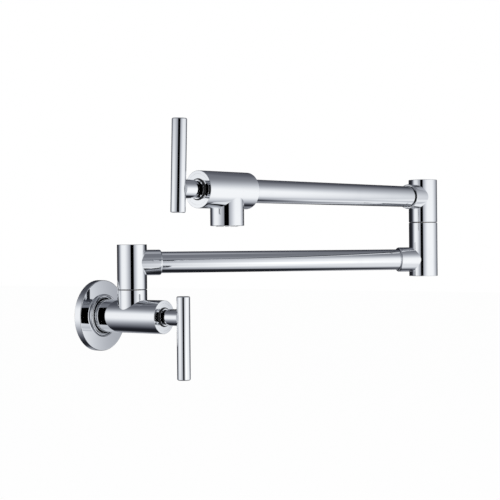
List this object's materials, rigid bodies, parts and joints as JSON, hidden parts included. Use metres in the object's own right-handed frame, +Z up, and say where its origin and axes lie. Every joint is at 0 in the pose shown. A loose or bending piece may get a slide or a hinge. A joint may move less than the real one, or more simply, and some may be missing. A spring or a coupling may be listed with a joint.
{
  "type": "wall mounted pot filler",
  "caption": "Double-jointed folding swivel arm tap for filling pots over a hob, with a lever valve at the wall and another at the spout, in polished chrome.",
  "frame": {"origin": "centre of the flange's back on the wall, on the axis of the water inlet", "axes": "+Z up, +Y into the wall along the inlet, +X along the wall to the right as one faces it"},
  "size_m": [0.3104, 0.2429, 0.2019],
  "materials": {
    "chrome": "mirror polished chrome plate",
    "brass": "machined brass, bare",
    "steel": "machined stainless steel",
    "rubber": "smooth black nitrile rubber",
    "ceramic": "lapped white ceramic",
    "nylon": "moulded off-white nylon"
  },
  "bodies": {
    "wall_body": {"wall_flange": "chrome", "flange_o_ring": "rubber", "inlet_nipple": "brass", "base_valve_body": "chrome", "base_bonnet_ring": "chrome", "base_cartridge_housing": "brass", "base_cartridge_seal": "rubber", "base_fixed_disc": "ceramic", "base_spigot": "brass", "base_swivel_washer": "nylon", "base_lower_o_ring": "rubber", "base_upper_o_ring": "rubber"},
    "base_lever": {"base_moving_disc": "ceramic", "base_valve_stem": "brass", "base_stem_seal": "rubber", "base_handle_hub": "chrome", "base_handle_screw": "steel", "base_handle_bar": "chrome"},
    "lower_arm": {"base_swivel_sleeve": "chrome", "base_sleeve_screw": "steel", "lower_arm_tube": "chrome", "elbow_lower_post": "chrome", "elbow_spigot": "brass", "elbow_swivel_washer": "nylon", "elbow_lower_o_ring": "rubber", "elbow_upper_o_ring": "rubber"},
    "upper_arm": {"elbow_swivel_sleeve": "chrome", "elbow_sleeve_screw": "steel", "upper_arm_tube": "chrome", "spout_head": "chrome", "aerator_shell": "chrome", "aerator_insert": "nylon", "aerator_screen": "steel", "aerator_washer": "rubber", "spout_bonnet_ring": "chrome", "spout_cartridge_housing": "brass", "spout_cartridge_seal": "rubber", "spout_fixed_disc": "ceramic"},
    "spout_lever": {"spout_moving_disc": "ceramic", "spout_valve_stem": "brass", "spout_stem_seal": "rubber", "spout_handle_hub": "chrome", "spout_handle_screw": "steel", "spout_handle_bar": "chrome"}
  },
  "joints": [
    {"name": "base_swivel", "type": "hinge", "parent": "wall_body", "child": "lower_arm", "pos_m": [0, -0.0378, 0.0222], "axis": [0, 0, 1], "range_deg": [-138, 42]},
    {"name": "elbow_swivel", "type": "hinge", "parent": "lower_arm", "child": "upper_arm", "pos_m": [0.19396, -0.21244, 0.0773], "axis": [0, 0, 1], "continuous": true},
    {"name": "base_lever_turn", "type": "hinge", "parent": "wall_body", "child": "base_lever", "pos_m": [0, -0.0713, 0], "axis": [0, -1, 0], "range_deg": [0, 90]},
    {"name": "spout_lever_turn", "type": "hinge", "parent": "upper_arm", "child": "spout_lever", "pos_m": [-0.07896, -0.16334, 0.1], "axis": [-0.9842, 0.1771, 0], "range_deg": [0, 92]}
  ]
}
